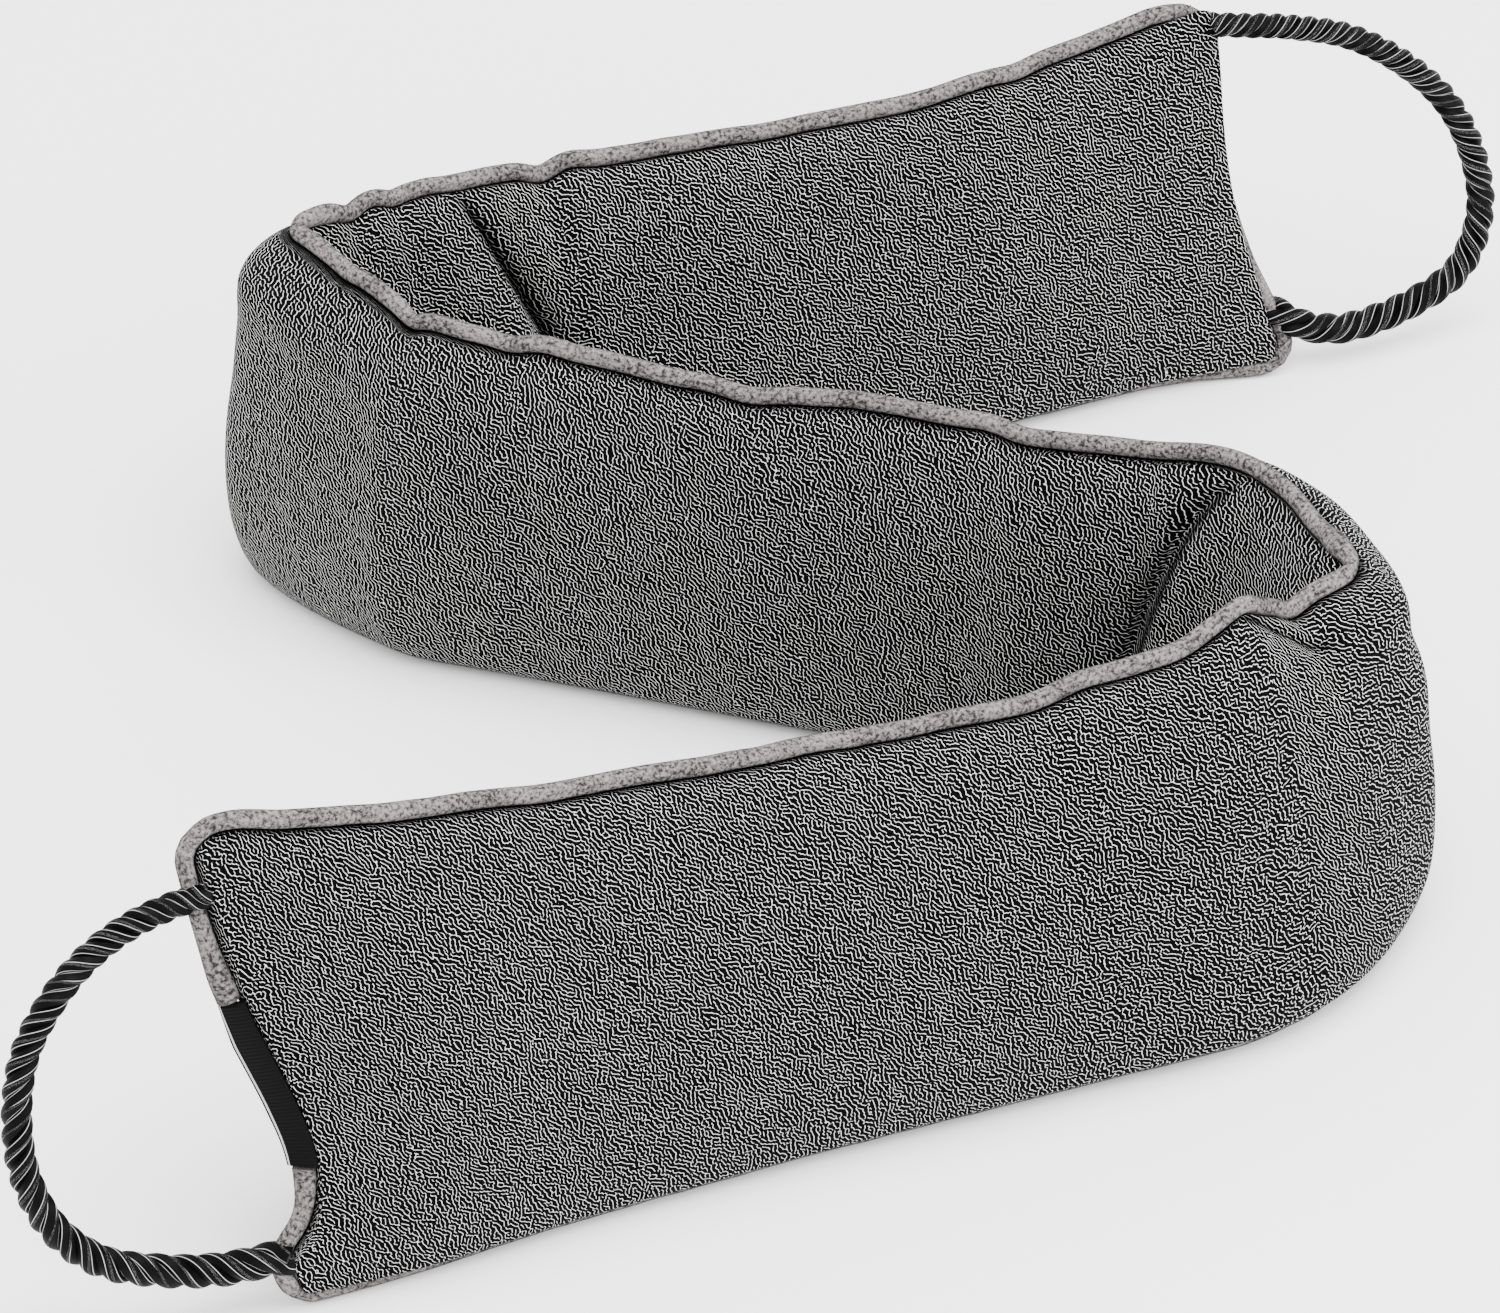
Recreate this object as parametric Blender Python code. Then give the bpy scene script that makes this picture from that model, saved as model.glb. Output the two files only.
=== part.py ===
"""Draught excluder: a long filled fabric cushion standing on edge in two folds.

Pieces: the filled cushion body, the self-covered piping in its seam, the
closure tape at the left end and a twisted rope handle at each end.
Lengths in millimetres in the tables, turned to metres when the solids are made.
Axes: +X to the right, +Y to the back, +Z up, floor at zero.
"""
import bmesh
import bpy
import numpy as np

# Sizes, in millimetres
PIPING_RADIUS = 2.45
PIPING_SIDES = 8
SEAM_GAP = 0.36
PIPING_LIFT = 0.7
STATION_STEP = 7.4
END_STEPS = (3.2, 4.2, 5.2, 6.2, 7.0)
CORNER_RADIUS = 9.0
END_INFLATE = 62.0
END_FULLNESS = 0.55
BELLY_POWER = 0.6
ROPE_STRANDS = 3
ROPE_SIDES = 9
ROPE_LOBE = 0.13
ROPE_LAY = 15.0
ROPE_STEP = 1.3
BASE_START = 0.10
BASE_INSET = 6.5
TAPE_FROM = 0.33
TAPE_TO = 0.73
TAPE_HALF_WIDTH = 4.6
TAPE_UNDERSIDE = 0.3
TAPE_THICKNESS = 1.7

# The folds, a row for each bend or station of the top seam, left end first:
# x and y of the top seam, its height, how far the bottom seam stands to the
# front panel's side (foot), the far edge of the base (toe), and how far the
# front panel and the back panel swell beyond the straight line (front, back).
FOLD_COLUMNS = ("x", "y", "height", "foot", "toe", "front", "back")
FOLDS = (
    (-129, -247, 126, 29, 8, 12, 12),
    (-94, -233, 121, 28, 10, 13, 13),
    (-52, -212, 111, 27, 11, 14, 14),
    (7, -183, 101, 29, 11, 15, 14),
    (67, -158, 98, 29, 11, 15, 14),
    (107, -141, 105, 28, 10, 14, 13),
    (120, -130, 111, 25, 9, 13, 11),
    (129, -120, 101, 22, 8, 13, 10),
    (148, -107, 103, 18, 7, 13, 9),
    (135, -72, 102, 20, 7, 13, 9),
    (125, -59, 102, 25, 7, 13, 10),
    (112, -53, 100, 28, 7, 14, 13),
    (71, -46, 100, 30, 6, 15, 15),
    (59, -38, 99, 30, 6, 15, 15),
    (18, -26, 97, 30, 6, 15, 15),
    (-37, -9, 97, 30, 5, 14, 15),
    (-82, 5, 96, 29, 5, 12, 16),
    (-95, 19, 99, 18, 10, 8, 14),
    (-118, 41, 103, 6, 11, 5, 14),
    (-104, 51, 102, 7, 8, 5, 14),
    (-96, 60, 100, 14, 7, 8, 14),
    (-66, 78, 97, 26, 10, 13, 13),
    (-13, 95, 97, 26, 11, 14, 13),
    (49, 118, 95, 20, 11, 14, 13),
    (90, 142, 98, 25, 10, 13, 12),
    (121, 151, 104, 24, 8, 12, 12),
)
SEAM_LINE = ("x", "y", "height")
LINE_BLUR = 4.5
SHAPE_BLUR = 9.0
HEADING_BLUR = 20.0

# Share of the way from the top seam to the bottom seam of each row of the
# front panel, and of the wall of the back panel down to the toe.
PANEL_ROWS = (0.024, 0.095, 0.20, 0.34, 0.50, 0.66, 0.80, 0.905, 0.972)
WALL_ROWS = (0.035, 0.13, 0.28, 0.47, 0.67, 0.85, 0.965)

# The ends: how far the lower corner is pushed along the cushion, and how far
# the middle of the end is drawn in between its corners.
END_COLUMNS = ("slant", "draw_in", "lowest_share")
LEFT_END = (13.0, 11.0, 0.62)
RIGHT_END = (14.0, 8.0, 0.50)

# Creases in the panels on the inside of the bends: distance along the top
# seam, how far it has swept on along the cushion by the bottom (with the root
# of the share of the way down), depth, half width.
CREASE_COLUMNS = ("panel", "along", "sweep", "depth", "width")
CREASES = (
    ("back", 356.0, 48.0, 8.5, 9.0),
    ("front", 687.0, 27.0, 8.5, 8.5),
)

# Where a panel bunches up below the top seam on the outside of a bend: distance
# along the top seam, half length, how far out.
PUFF_COLUMNS = ("panel", "along", "reach", "out")
PUFFS = (
    ("front", 338.0, 34.0, 5.0),
    ("back", 618.0, 30.0, 5.0),
)
PUFF_SHARE = 0.13
PUFF_SPREAD = 0.11

# Rope handles: distance out from the end and height of the centre of the rope
# in the leaning plane of the end, from the upper root to the lower one.
LEFT_ROPE = (
    (7.2, 107.8), (20, 104.8), (32, 99), (42, 90), (49.6, 78.6), (53, 64.6),
    (52.7, 49.6), (47.4, 35), (37, 24), (23, 18), (8.4, 14.6), (-3.6, 15.2),
)
RIGHT_ROPE = (
    (2.0, 98.7), (13.8, 96.1), (30.6, 90.4), (45.6, 80.3), (57.9, 66.8), (64.8, 50.7),
    (66, 34), (59, 19.6), (44.5, 12.5), (28.5, 9.6), (19, 10.8), (12.4, 13.4),
)
ROPE_RADII = (3.1, 4.0)

# The plane each handle hangs in: a point of its foot on the floor, the heading
# of the cushion there, which way is out, and its lean to the front per height.
PLANE_COLUMNS = ("x", "y", "heading", "out", "lean", "level")
ROPE_PLANES = {
    "left": (-119.9, -258.8, 22.0, -1.0, 0.22, 60.0),
    "right": (131.0, 140.0, 20.0, 1.0, 0.20, 60.0),
}

MM = 0.001


def column(rows, names, name):
    """One named column of a table."""
    return np.array([row[names.index(name)] for row in rows], dtype=float)


def unit(v):
    """Rows of v made one long."""
    return v / np.linalg.norm(v, axis=-1, keepdims=True)


def blurred(values, step, width):
    """A column smoothed by a bell of the given width, its ends held in place."""
    reach = int(4 * width / step) + 1
    bell = np.exp(-0.5 * (np.arange(-reach, reach + 1) * step / width) ** 2)
    bell /= bell.sum()
    head = 2 * values[0] - values[reach:0:-1]
    tail = 2 * values[-1] - values[-2:-reach - 2:-1]
    return np.convolve(np.concatenate([head, values, tail]), bell, mode="valid")


def spline(points, count):
    """A smooth curve through the points, at equal steps along its length."""
    p = np.asarray(points, dtype=float)
    p = np.vstack([2 * p[0] - p[1], p, 2 * p[-1] - p[-2]])
    t = np.linspace(0, len(p) - 3 - 1e-9, 40 * len(p))
    i = t.astype(int)
    u = (t - i)[:, None]
    a, b, c, d = p[i], p[i + 1], p[i + 2], p[i + 3]
    curve = 0.5 * (2 * b + (c - a) * u + (2 * a - 5 * b + 4 * c - d) * u ** 2
                   + (3 * b - a - 3 * c + d) * u ** 3)
    run = np.concatenate([[0], np.cumsum(np.linalg.norm(np.diff(curve, axis=0), axis=1))])
    even = np.linspace(0, run[-1], count)
    return np.stack([np.interp(even, run, curve[:, k]) for k in range(curve.shape[1])], axis=1)


def fold_line():
    """The folded cushion at fine steps: distance, heading and each smoothed column."""
    x = column(FOLDS, FOLD_COLUMNS, "x")
    y = column(FOLDS, FOLD_COLUMNS, "y")
    run = np.concatenate([[0], np.cumsum(np.hypot(np.diff(x), np.diff(y)))])
    fine = np.linspace(0, run[-1], 1201)
    step = fine[1] - fine[0]
    line = {"along": fine}
    for name in FOLD_COLUMNS:
        raw = np.interp(fine, run, column(FOLDS, FOLD_COLUMNS, name))
        line[name] = blurred(raw, step, LINE_BLUR if name in SEAM_LINE else SHAPE_BLUR)
    easy_x = blurred(np.interp(fine, run, x), step, HEADING_BLUR)
    easy_y = blurred(np.interp(fine, run, y), step, HEADING_BLUR)
    line["heading"] = np.unwrap(np.arctan2(np.gradient(easy_y), np.gradient(easy_x)))
    return line


def station_places(length):
    """Distances of the cross sections, closer together near both ends."""
    near = np.concatenate([[0], np.cumsum(END_STEPS)])
    inner = length - 2 * near[-1]
    count = int(round(inner / STATION_STEP))
    middle = np.linspace(near[-1], length - near[-1], count + 1)
    return np.concatenate([near[:-1], middle, length - near[:-1][::-1]])


def corner_recess(distance):
    """How far a rounded corner falls back at a distance from its edge."""
    left = np.clip(CORNER_RADIUS - distance, 0, None)
    return CORNER_RADIUS - np.sqrt(CORNER_RADIUS ** 2 - left ** 2)


def end_reach(share, width, end):
    """How far the seam at an end stands out at a share of its height."""
    slant, draw_in, lowest = end
    corner = CORNER_RADIUS * (1 - np.sqrt(0.5))
    top = corner - corner_recess(share * width + corner)
    bottom = corner - corner_recess((1 - share) * width + corner)
    power = np.log(0.5) / np.log(lowest)
    return top + bottom - corner - draw_in * np.sin(np.pi * share ** power) ** 1.4


def build_frame():
    """Seam centres, panel rows and their directions at every cross section."""
    line = fold_line()
    s = station_places(line["along"][-1])
    at = {name: np.interp(s, line["along"], values) for name, values in line.items()}
    length = s[-1]
    along = np.stack([np.cos(at["heading"]), np.sin(at["heading"]), 0 * s], axis=1)
    front = np.stack([np.sin(at["heading"]), -np.cos(at["heading"]), 0 * s], axis=1)
    up = np.array([0.0, 0.0, 1.0])
    corner = CORNER_RADIUS * (1 - np.sqrt(0.5))
    from_left = s + corner
    from_right = length - s + corner
    drop = corner_recess(from_left) + corner_recess(from_right)
    fade_left = np.exp(-((s / 45.0) ** 1.5))
    fade_right = np.exp(-(((length - s) / 45.0) ** 1.5))
    slant = LEFT_END[0] * fade_left + RIGHT_END[0] * fade_right
    top = np.stack([at["x"], at["y"], at["height"] - PIPING_RADIUS - drop], axis=1)
    ground = np.stack([at["x"], at["y"], 0 * s], axis=1)
    low = PIPING_RADIUS + PIPING_LIFT + drop
    bottom = ground + front * at["foot"][:, None] + along * slant[:, None] + up * low[:, None]
    return {"s": s, "length": length, "at": at, "along": along, "front": front, "up": up,
            "top": top, "bottom": bottom, "fade_left": fade_left, "fade_right": fade_right,
            "slant": slant}


def end_pull(frame, share):
    """Shift along the cushion of a row at every station, strongest at the ends."""
    width = np.linalg.norm(frame["top"] - frame["bottom"], axis=1)
    left = end_reach(share, width[0], LEFT_END)
    right = end_reach(share, width[-1], RIGHT_END)
    fade_left = np.exp(-((frame["s"] / 26.0) ** 1.4))
    fade_right = np.exp(-(((frame["length"] - frame["s"]) / 26.0) ** 1.4))
    return (right * fade_right - left * fade_left)[:, None] * frame["along"]


def panel_points(frame):
    """The rows of both panels between the seams, as station by row by xyz."""
    top, bottom, at = frame["top"], frame["bottom"], frame["at"]
    chord = bottom - top
    outward = unit(np.cross(chord, frame["along"]))
    outward = outward * np.sign((outward * frame["front"]).sum(axis=1, keepdims=True))
    d_end = np.minimum(frame["s"], frame["length"] - frame["s"])
    fill = (1 - (1 - np.clip(d_end / END_INFLATE, 0, 1)) ** 2) ** END_FULLNESS
    fill = fill[:, None]
    groove_half = (PIPING_RADIUS + SEAM_GAP) * 0.93
    base = np.stack([at["x"], at["y"], 0 * frame["s"]], axis=1)
    base = base + frame["slant"][:, None] * frame["along"]
    toe = base - frame["front"] * at["toe"][:, None]
    wall = toe - top
    wall_out = unit(np.cross(frame["along"], wall))
    wall_out = -wall_out * np.sign((wall_out * frame["front"]).sum(axis=1, keepdims=True))
    front_rows = []
    back_rows = []
    for j, share in enumerate(PANEL_ROWS):
        flat = top + chord * share + end_pull(frame, share)
        full = flat + outward * bulge(frame, "front", share)[:, None]
        pinched = flat + outward * groove_half
        front_rows.append(pinched + (full - pinched) * fill)
        if j < len(WALL_ROWS):
            v = WALL_ROWS[j]
            full = top + wall * v + end_pull(frame, share)
            full = full + wall_out * bulge(frame, "back", v)[:, None]
        elif j == len(WALL_ROWS):
            full = toe + frame["front"] * (BASE_START * (at["toe"] + at["foot"]))[:, None]
        else:
            full = base + frame["front"] * (at["foot"] - BASE_INSET)[:, None]
        pinched = flat - outward * groove_half
        back_rows.append(pinched + (full - pinched) * fill)
    return np.stack(front_rows, axis=1), np.stack(back_rows, axis=1)


def bulge(frame, panel, share):
    """How far a panel stands out at a share of its height, creases and puffs counted."""
    s = frame["s"]
    out = frame["at"][panel] * (4 * share * (1 - share)) ** BELLY_POWER
    for name, along, sweep, deep, width in CREASES:
        if name == panel:
            place = along + sweep * np.sqrt(share)
            reach = np.sin(np.pi * share) ** 1.1
            out = out - deep * reach * np.exp(-((s - place) / width) ** 2)
    for name, along, reach, puff in PUFFS:
        if name == panel:
            high = np.exp(-((share - PUFF_SHARE) / PUFF_SPREAD) ** 2)
            out = out + puff * high * np.exp(-((s - along) / reach) ** 2)
    return out


def seam_loop(frame):
    """Centre and inward direction of the seam right round, starting at top left."""
    top, bottom = frame["top"], frame["bottom"]
    along, front, up = frame["along"], frame["front"], frame["up"]
    inward_top = np.tile(-up, (len(top), 1))
    inward_bottom = -front * np.cos(np.radians(30)) + up * np.sin(np.radians(30))
    shares = np.array(PANEL_ROWS)[:, None]
    right = top[-1] + (bottom[-1] - top[-1]) * shares
    right = right + np.stack([end_pull(frame, r)[-1] for r in PANEL_ROWS])
    left = top[0] + (bottom[0] - top[0]) * shares
    left = left + np.stack([end_pull(frame, r)[0] for r in PANEL_ROWS])
    centre = np.vstack([top, right, bottom[::-1], left[::-1]])
    inward = np.vstack([inward_top, np.tile(-along[-1], (len(right), 1)),
                        inward_bottom[::-1], np.tile(along[0], (len(left), 1))])
    for _ in range(2):
        inward = unit(np.roll(inward, 1, 0) + 2 * inward + np.roll(inward, -1, 0))
    return centre, inward


def loop_rings(centre, inward, radius, angles):
    """Points round the seam at given angles from its inward direction."""
    tangent = unit(np.roll(centre, -1, 0) - np.roll(centre, 1, 0))
    inward = unit(inward - tangent * (inward * tangent).sum(axis=1, keepdims=True))
    side = np.cross(tangent, inward)
    turn = np.radians(np.asarray(angles, dtype=float))
    spokes = (inward[:, None, :] * np.cos(turn)[None, :, None]
              + side[:, None, :] * np.sin(turn)[None, :, None])
    return centre[:, None, :] + radius * spokes


def add_solid(name, verts, faces, colour, roughness):
    """One closed solid from its points in millimetres, with its own material."""
    mesh = bpy.data.meshes.new(name)
    mesh.from_pydata((np.asarray(verts) * MM).tolist(), [], [list(map(int, f)) for f in faces])
    shell = bmesh.new()
    shell.from_mesh(mesh)
    bmesh.ops.recalc_face_normals(shell, faces=shell.faces[:])
    shell.to_mesh(mesh)
    shell.free()
    body = bpy.data.objects.new(name, mesh)
    bpy.context.scene.collection.objects.link(body)
    material = bpy.data.materials.new(name + "_material")
    material.use_nodes = True
    shader = material.node_tree.nodes["Principled BSDF"]
    shader.inputs["Base Color"].default_value = colour
    shader.inputs["Roughness"].default_value = roughness
    mesh.materials.append(material)
    return body


def grid_faces(index, closed=False):
    """Quads between neighbouring rows of a table of point numbers."""
    a = index if not closed else np.hstack([index, index[:, :1]])
    quads = np.stack([a[:-1, :-1], a[1:, :-1], a[1:, 1:], a[:-1, 1:]], axis=-1)
    return quads.reshape(-1, 4)


def tube_solid(rings):
    """Points and faces of a closed tube through the rings, its ends filled."""
    count, sides, _ = rings.shape
    index = np.arange(count * sides).reshape(count, sides)
    faces = [list(f) for f in grid_faces(index, closed=True)]
    faces.append(list(index[0]))
    faces.append(list(index[-1][::-1]))
    return rings.reshape(-1, 3), faces


def filled_body(frame, centre, inward):
    """The cushion: two panels and the grooved seam round them, one solid."""
    front, back = panel_points(frame)
    stations, rows, _ = front.shape
    groove_radius = PIPING_RADIUS + SEAM_GAP / np.cos(np.pi / PIPING_SIDES)
    half = 180.0 / PIPING_SIDES
    groove = loop_rings(centre, inward, groove_radius, (-3 * half, -half, half, 3 * half))
    loop = len(centre)
    groove_index = np.arange(loop * 4).reshape(loop, 4)
    front_index = loop * 4 + np.arange(stations * rows).reshape(stations, rows)
    back_index = front_index + stations * rows
    top = np.arange(stations)
    right = np.arange(stations, stations + rows)
    bottom = np.arange(stations + rows, 2 * stations + rows)[::-1]
    left = np.arange(2 * stations + rows, 2 * stations + 2 * rows)[::-1]
    faces = []
    around = np.vstack([groove_index, groove_index[:1]])
    faces.extend(grid_faces(around).tolist())
    for panel_index, edge, flip in ((front_index, 0, False), (back_index, 3, True)):
        inner = panel_index[1:-1]
        sheet = np.empty((stations, rows + 2), dtype=int)
        sheet[:, 0] = groove_index[top, edge]
        sheet[:, -1] = groove_index[bottom, edge]
        sheet[1:-1, 1:-1] = inner
        sheet[0, 1:-1] = groove_index[left, edge]
        sheet[-1, 1:-1] = groove_index[right, edge]
        quads = grid_faces(sheet)
        faces.extend((quads[:, ::-1] if flip else quads).tolist())
    used = sorted({i for face in faces for i in face})
    points = np.vstack([groove.reshape(-1, 3), front.reshape(-1, 3), back.reshape(-1, 3)])
    renumber = {old: new for new, old in enumerate(used)}
    return points[used], [[renumber[i] for i in face] for face in faces]


def tape_and_piping(centre, inward, stations):
    """Rings of the piping, open at the tape, and rings of the tape itself."""
    rows = len(PANEL_ROWS)
    shares = np.array(PANEL_ROWS)
    half = 180.0 / PIPING_SIDES
    angles = half + 2 * half * np.arange(PIPING_SIDES)
    rings = loop_rings(centre, inward, PIPING_RADIUS, angles)
    d_shape = loop_rings(centre, inward, PIPING_RADIUS, (-3 * half, -half, half, 3 * half))
    side = unit(d_shape[:, 3] - d_shape[:, 0])
    mid = 0.5 * (d_shape[:, 0] + d_shape[:, 3])
    outward = unit(mid - 0.5 * (d_shape[:, 1] + d_shape[:, 2]))
    low = mid + outward * TAPE_UNDERSIDE
    high = low + outward * TAPE_THICKNESS
    reach = side * TAPE_HALF_WIDTH
    lips = np.stack([low + reach, high + reach, high - reach, low - reach], axis=1)
    tape_rings = np.concatenate([d_shape, lips], axis=1)
    left = np.arange(2 * stations + rows, 2 * stations + 2 * rows)[::-1]
    run = np.interp(np.linspace(TAPE_FROM, TAPE_TO, 9), shares, np.arange(rows))
    spot = left[0] - run
    tape = ring_at(tape_rings, spot)
    total = len(centre)
    first = left[0] - np.interp(TAPE_FROM - 0.008, shares, np.arange(rows))
    last = left[0] - np.interp(TAPE_TO + 0.008, shares, np.arange(rows))
    inner = np.arange(int(np.ceil(first + 1e-6)), total + int(np.floor(last)) + 1)
    spots = np.concatenate([[first], inner, [total + last]])
    return ring_at(rings, spots), tape


def ring_at(rings, spots):
    """Rings at whole or in-between places round the seam."""
    low = np.floor(spots).astype(int)
    part = (spots - low)[:, None, None]
    return rings[low % len(rings)] * (1 - part) + rings[(low + 1) % len(rings)] * part


def rope_solid(rows, side):
    """A laid rope of three strands along its loop, the twist raised."""
    x, y, degrees, outward, lean, level = ROPE_PLANES[side]
    turn = np.radians(degrees)
    along = np.array([np.cos(turn), np.sin(turn), 0.0])
    front = np.array([np.sin(turn), -np.cos(turn), 0.0])
    flat = np.asarray(rows, dtype=float)
    length = np.linalg.norm(np.diff(spline(flat, 200), axis=0), axis=1).sum()
    count = int(length / ROPE_STEP) + 1
    flat = spline(flat, count)
    path = (np.array([x, y, 0.0]) + along * (outward * flat[:, :1])
            + front * (lean * (level - flat[:, 1:])) + np.array([0, 0, 1.0]) * flat[:, 1:])
    tangent = unit(np.gradient(path, axis=0))
    across = unit(front - tangent * (tangent @ front)[:, None])
    third = np.cross(tangent, across)
    share = np.linspace(0, 1, count)[:, None]
    radius = ROPE_RADII[0] + (ROPE_RADII[1] - ROPE_RADII[0]) * share
    around = np.arange(ROPE_SIDES) * 2 * np.pi / ROPE_SIDES
    twist = 2 * np.pi * share * length / ROPE_LAY
    lobe = 1 - ROPE_LOBE + ROPE_LOBE * np.cos(ROPE_STRANDS * around)[None, :]
    angle = (twist - around[None, :]) * (1 if side == "left" else -1)
    spokes = (across[:, None, :] * np.cos(angle)[..., None]
              + third[:, None, :] * np.sin(angle)[..., None])
    return tube_solid(path[:, None, :] + spokes * (radius * lobe)[..., None]), length


for old in list(bpy.data.objects):
    bpy.data.objects.remove(old, do_unlink=True)

frame = build_frame()
centre, inward = seam_loop(frame)
stations = len(frame["s"])
piping, tape = tape_and_piping(centre, inward, stations)
solids = {
    "filled_body": (filled_body(frame, centre, inward), (0.14, 0.14, 0.14, 1), 0.95),
    "seam_piping": (tube_solid(piping), (0.2, 0.195, 0.19, 1), 0.9),
    "closure_tape": (tube_solid(tape), (0.01, 0.01, 0.01, 1), 0.7),
    "rope_handle_left": (rope_solid(LEFT_ROPE, "left")[0], (0.012, 0.012, 0.013, 1), 0.5),
    "rope_handle_right": (rope_solid(RIGHT_ROPE, "right")[0], (0.012, 0.012, 0.013, 1), 0.5),
}
everything = np.vstack([solids[name][0][0] for name in solids if "rope" not in name])
shift = -0.5 * (everything.min(axis=0) + everything.max(axis=0))
shift[2] = 0.0
for name, ((verts, faces), colour, roughness) in solids.items():
    add_solid(name, verts + shift, faces, colour, roughness)
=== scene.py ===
"""Draught excluder, grey looped fabric with black rope handles: the looks."""

import bmesh
import bpy
import numpy as np
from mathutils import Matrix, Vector


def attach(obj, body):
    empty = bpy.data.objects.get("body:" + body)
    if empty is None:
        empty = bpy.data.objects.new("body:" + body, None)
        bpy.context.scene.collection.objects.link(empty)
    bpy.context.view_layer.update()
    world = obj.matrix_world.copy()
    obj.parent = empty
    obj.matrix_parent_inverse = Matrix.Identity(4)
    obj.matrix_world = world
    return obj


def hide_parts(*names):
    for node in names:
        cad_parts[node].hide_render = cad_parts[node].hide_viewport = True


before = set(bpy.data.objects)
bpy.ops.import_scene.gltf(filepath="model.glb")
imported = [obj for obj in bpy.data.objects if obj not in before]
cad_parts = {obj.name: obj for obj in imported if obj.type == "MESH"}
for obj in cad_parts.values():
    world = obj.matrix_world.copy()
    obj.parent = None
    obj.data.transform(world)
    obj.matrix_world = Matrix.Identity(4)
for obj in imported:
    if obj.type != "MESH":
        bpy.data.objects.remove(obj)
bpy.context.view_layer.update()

# The filled cushion: two long panels of grey looped-pile cloth, sewn together all round and
# filled with fibre, on edge in two folds. The seam runs along the top, round both ends and
# along the lower front; the cloth swells between, and creases inside each bend.
FOLD_COLUMNS = ("x", "y", "height", "foot", "toe", "front", "back")
FOLDS = (
    (-129, -247, 126, 29, 8, 12, 12),
    (-94, -233, 121, 28, 10, 13, 13),
    (-52, -212, 111, 27, 11, 14, 14),
    (7, -183, 101, 29, 11, 15, 14),
    (67, -158, 98, 29, 11, 15, 14),
    (107, -141, 105, 30, 10, 14, 13),
    (120, -130, 111, 31, 9, 13, 11),
    (129, -120, 101, 31, 8, 13, 10),
    (148, -107, 103, 17, 7, 13, 9),
    (132.7, -72, 102, 20, 7, 13, 9),
    (122.5, -59.5, 102, 25, 7, 13, 10),
    (112, -53, 100, 28, 7, 14, 13),
    (71, -46, 100, 30, 6, 15, 15),
    (59, -38, 99, 30, 6, 15, 15),
    (18, -26, 97, 30, 6, 15, 15),
    (-37, -9, 97, 30, 5, 14, 15),
    (-82, 5, 96, 29, 5, 12, 16),
    (-95, 19, 99, 18, 10, 8, 14),
    (-118, 41, 103, 6, 11, 5, 14),
    (-104, 51, 102, 7, 8, 5, 14),
    (-96, 60, 100, 14, 7, 8, 14),
    (-66, 78, 97, 26, 10, 13, 13),
    (-13, 95, 97, 26, 11, 14, 13),
    (49, 118, 95, 20, 11, 14, 13),
    (90, 142, 98, 25, 10, 13, 12),
    (121, 151, 104, 24, 8, 12, 12),
)
# Sizes in mm; a share is a part of the height, from the top seam down.
MIDDLE = np.array([-17.923, 57.580, 0.0])  # moves the tables' origin to the CAD's
PIPING_RADIUS = 2.25
PIPING_LIFT = 0.7
CORNER_RADIUS = 9.0  # of the corners of both panels
CORNER = CORNER_RADIUS * (1 - np.sqrt(0.5))
END_INFLATE = 62.0  # the filling thins out from here to an end
# Each end: slant of its foot, how far it is drawn in, at which share, and a flick outward.
LEFT_END = (13.0, 11.3, 0.70, 4.0)
RIGHT_END = (14.0, 6.0, 0.50, 0.0)
RIGHT_TUCK = (4.4, 2.2)  # the seam at the right end, moved back and in
STATIONS = 640
ROWS = 58
EDGE = 0.018  # share between the seam and the first row of cloth
END_GAP = 3.6  # from an end to the first station
CLOTH_DROP = 115.0  # height of the cloth, for distances down it
SLANT_REACH = 45.0
PULL_REACH = 26.0
PINCHED_HALF = 1.5  # half thickness where an end is sewn flat
WALL_SHARE = 0.8  # part of the back panel above its toe
OVERHANG = 2.4  # front cloth below the lower seam
END_COVER = (1.7, 5.2)  # front cloth past the right end, along and up
EVENED = (272.0, 44.0, 12.0)  # place, reach and blur
FOOT_TUCK = 2.8
BEND_TUCK = (2.2, 335.0, 45.0)  # more tuck at the right bend, its place and reach
CORNER_SINK = 5.0  # of the seam under the upper right corner
TUCK_REACH = 9.0
OWN_RUN = 45.0  # nearer an end than this, each row has its own distance along
# Panel, along, sweep, power, depth, width.
CREASES = (
    ("back", 343.0, 60.0, 0.3, 4.6, 6.5),
    ("back", 343.0, 60.0, 0.3, 5.0, 1.7),
    ("front", 684.5, 45.0, 1.0, 4.6, 6.5),
    ("front", 684.5, 45.0, 1.0, 5.5, 1.8),
)
# Panel, from along, from share, to along, to share, depth, width.
FOLDS_IN = (
    ("front", 273.0, 0.03, 294.0, 0.11, 2.5, 2.2),
    ("front", 912.0, 0.84, 921.0, 0.93, 2.0, 1.8),
)
# Panel, along, share, reach, out.
PUFFS = (
    ("front", 338.0, 0.13, 34.0, 5.0),
    ("front", 276.0, 0.92, 28.0, 4.0),
    ("front", 328.0, 0.35, 26.0, 2.5),
    ("back", 618.0, 0.13, 30.0, 5.0),
)
LIFT_COLUMNS = ("along", "rise")
LIFTS = (
    (0, 0), (45, 0), (62, 0.8), (110, 1.3), (145, 1.2), (162, 2.2), (200, 1.1), (255, 0.3),
    (400, 0.2), (440, 0.8), (458, 2.4), (482, 2.2), (515, 0.8), (535, 2.6), (562, 4.1),
    (655, 4.0), (680, 2.6), (720, 1.7), (780, 1.5), (830, 2.6), (862, 2.3), (882, 3.5), (930, 2.0),
)
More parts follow.
